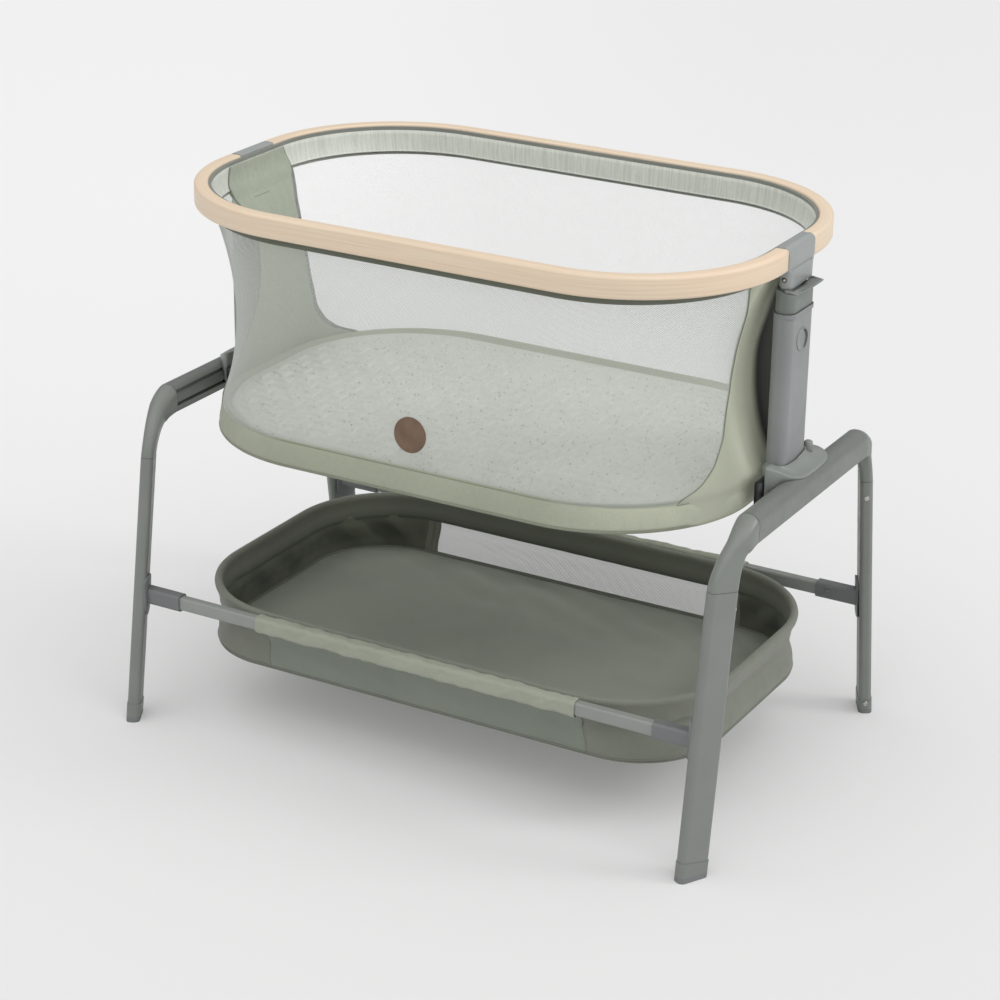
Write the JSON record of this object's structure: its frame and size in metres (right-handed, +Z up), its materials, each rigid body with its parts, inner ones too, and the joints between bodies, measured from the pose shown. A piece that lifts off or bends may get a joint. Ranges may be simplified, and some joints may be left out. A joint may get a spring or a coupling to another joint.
{
  "type": "travel bassinet",
  "caption": "Bassinet with a mesh-sided oval bowl under a wooden rim, on sliding telescopic posts over a grey four-legged stand with a storage basket.",
  "frame": {"origin": "on the floor, under the middle of the bowl, with the carriages in their rear setting and the bowl in its lowest", "axes": "+X along the bed to the right end, -Y to the open front, +Z up"},
  "size_m": [0.9586, 0.635, 0.8007],
  "materials": {
    "frame_grey": "satin powder coat, warm grey",
    "elbow_grey": "moulded, matched to the painted tubes",
    "moulded_grey": "fine moulded grain",
    "bracket_grey": "satin paint",
    "inner_tube": "satin",
    "black_plastic": "plain",
    "sole_rubber": "soft, matte",
    "screw_steel": "bright",
    "rim_wood": "pale wood, thin matte lacquer",
    "sage_fabric": "fine woven sage cloth",
    "lining_fabric": "speckled woven cloth",
    "pale_mesh": "open knitted mesh",
    "quilt_fabric": "speckled quilted cloth",
    "basket_fabric": "plain woven cloth"
  },
  "bodies": {
    "stand": {"beam_right": "frame_grey", "beam_left": "frame_grey", "elbow_front_right": "elbow_grey", "elbow_back_right": "elbow_grey", "elbow_front_left": "elbow_grey", "elbow_back_left": "elbow_grey", "leg_front_right": "frame_grey", "leg_back_right": "frame_grey", "leg_front_left": "frame_grey", "leg_back_left": "frame_grey", "foot_cap_front_right": "elbow_grey", "foot_cap_back_right": "elbow_grey", "foot_cap_front_left": "elbow_grey", "foot_cap_back_left": "elbow_grey", "foot_soles": "sole_rubber", "leg_screws": "screw_steel", "socket_front_right": "moulded_grey", "socket_back_right": "moulded_grey", "socket_front_left": "moulded_grey", "socket_back_left": "moulded_grey", "crossbar_front": "frame_grey", "crossbar_back": "frame_grey", "basket_shell": "basket_fabric", "basket_hem": "basket_fabric", "basket_trim": "basket_fabric"},
    "carriages": {"carriage_right": "moulded_grey", "carriage_left": "moulded_grey", "carriage_runners": "black_plastic", "post_sleeve_right": "frame_grey", "post_sleeve_left": "frame_grey"},
    "bowl": {"upper_tube_right": "inner_tube", "upper_tube_left": "inner_tube", "post_head_right": "moulded_grey", "post_head_left": "moulded_grey", "lever_pins": "screw_steel", "rim_bracket_right": "bracket_grey", "rim_bracket_left": "bracket_grey", "bracket_screws": "screw_steel", "rim_wood_front": "rim_wood", "rim_wood_back": "rim_wood", "rim_core": "bracket_grey", "rim_lining": "lining_fabric", "end_panel_right": "sage_fabric", "end_panel_left": "sage_fabric", "mesh_side_front": "pale_mesh", "mesh_side_back": "pale_mesh", "base_cover": "sage_fabric", "base_frame": "screw_steel", "base_board": "black_plastic", "mattress": "quilt_fabric"},
    "slide_button_right": {"slide_button_right": "moulded_grey"},
    "post_button_right": {"post_button_right": "moulded_grey"},
    "height_lever_right": {"height_lever_right": "moulded_grey"},
    "slide_button_left": {"slide_button_left": "moulded_grey"},
    "post_button_left": {"post_button_left": "moulded_grey"},
    "height_lever_left": {"height_lever_left": "moulded_grey"},
    "bar_button_front_right": {"bar_button_front_right": "moulded_grey"},
    "bar_button_back_right": {"bar_button_back_right": "moulded_grey"},
    "bar_button_front_left": {"bar_button_front_left": "moulded_grey"},
    "bar_button_back_left": {"bar_button_back_left": "moulded_grey"}
  },
  "joints": [
    {"name": "carriages_slide", "type": "slide", "parent": "stand", "child": "carriages", "axis": [0, -1, 0], "range_m": [0, 0.08]},
    {"name": "bowl_height", "type": "slide", "parent": "carriages", "child": "bowl", "axis": [0, 0, 1], "range_m": [0, 0.112]},
    {"name": "height_lever_right_squeeze", "type": "hinge", "parent": "bowl", "child": "height_lever_right", "pos_m": [0.44525, 0, 0.732], "axis": [0, -1, 0], "range_deg": [0, 12], "stiffness_Nm_per_rad": 1.2},
    {"name": "post_button_right_press", "type": "slide", "parent": "carriages", "child": "post_button_right", "axis": [-1, 0, 0], "range_m": [0, 0.0024], "stiffness_N_per_m": 1500},
    {"name": "slide_button_right_press", "type": "slide", "parent": "carriages", "child": "slide_button_right", "axis": [0, 0, -1], "range_m": [0, 0.003], "stiffness_N_per_m": 1200},
    {"name": "height_lever_left_squeeze", "type": "hinge", "parent": "bowl", "child": "height_lever_left", "pos_m": [-0.44525, 0, 0.732], "axis": [0, 1, 0], "range_deg": [0, 12], "stiffness_Nm_per_rad": 1.2},
    {"name": "post_button_left_press", "type": "slide", "parent": "carriages", "child": "post_button_left", "axis": [1, 0, 0], "range_m": [0, 0.0024], "stiffness_N_per_m": 1500},
    {"name": "slide_button_left_press", "type": "slide", "parent": "carriages", "child": "slide_button_left", "axis": [0, 0, -1], "range_m": [0, 0.003], "stiffness_N_per_m": 1200},
    {"name": "bar_button_front_right_press", "type": "slide", "parent": "stand", "child": "bar_button_front_right", "axis": [0, -1, 0], "range_m": [0, 0.003], "stiffness_N_per_m": 1200},
    {"name": "bar_button_back_right_press", "type": "slide", "parent": "stand", "child": "bar_button_back_right", "axis": [0, 1, 0], "range_m": [0, 0.003], "stiffness_N_per_m": 1200},
    {"name": "bar_button_front_left_press", "type": "slide", "parent": "stand", "child": "bar_button_front_left", "axis": [0, -1, 0], "range_m": [0, 0.003], "stiffness_N_per_m": 1200},
    {"name": "bar_button_back_left_press", "type": "slide", "parent": "stand", "child": "bar_button_back_left", "axis": [0, 1, 0], "range_m": [0, 0.003], "stiffness_N_per_m": 1200}
  ]
}
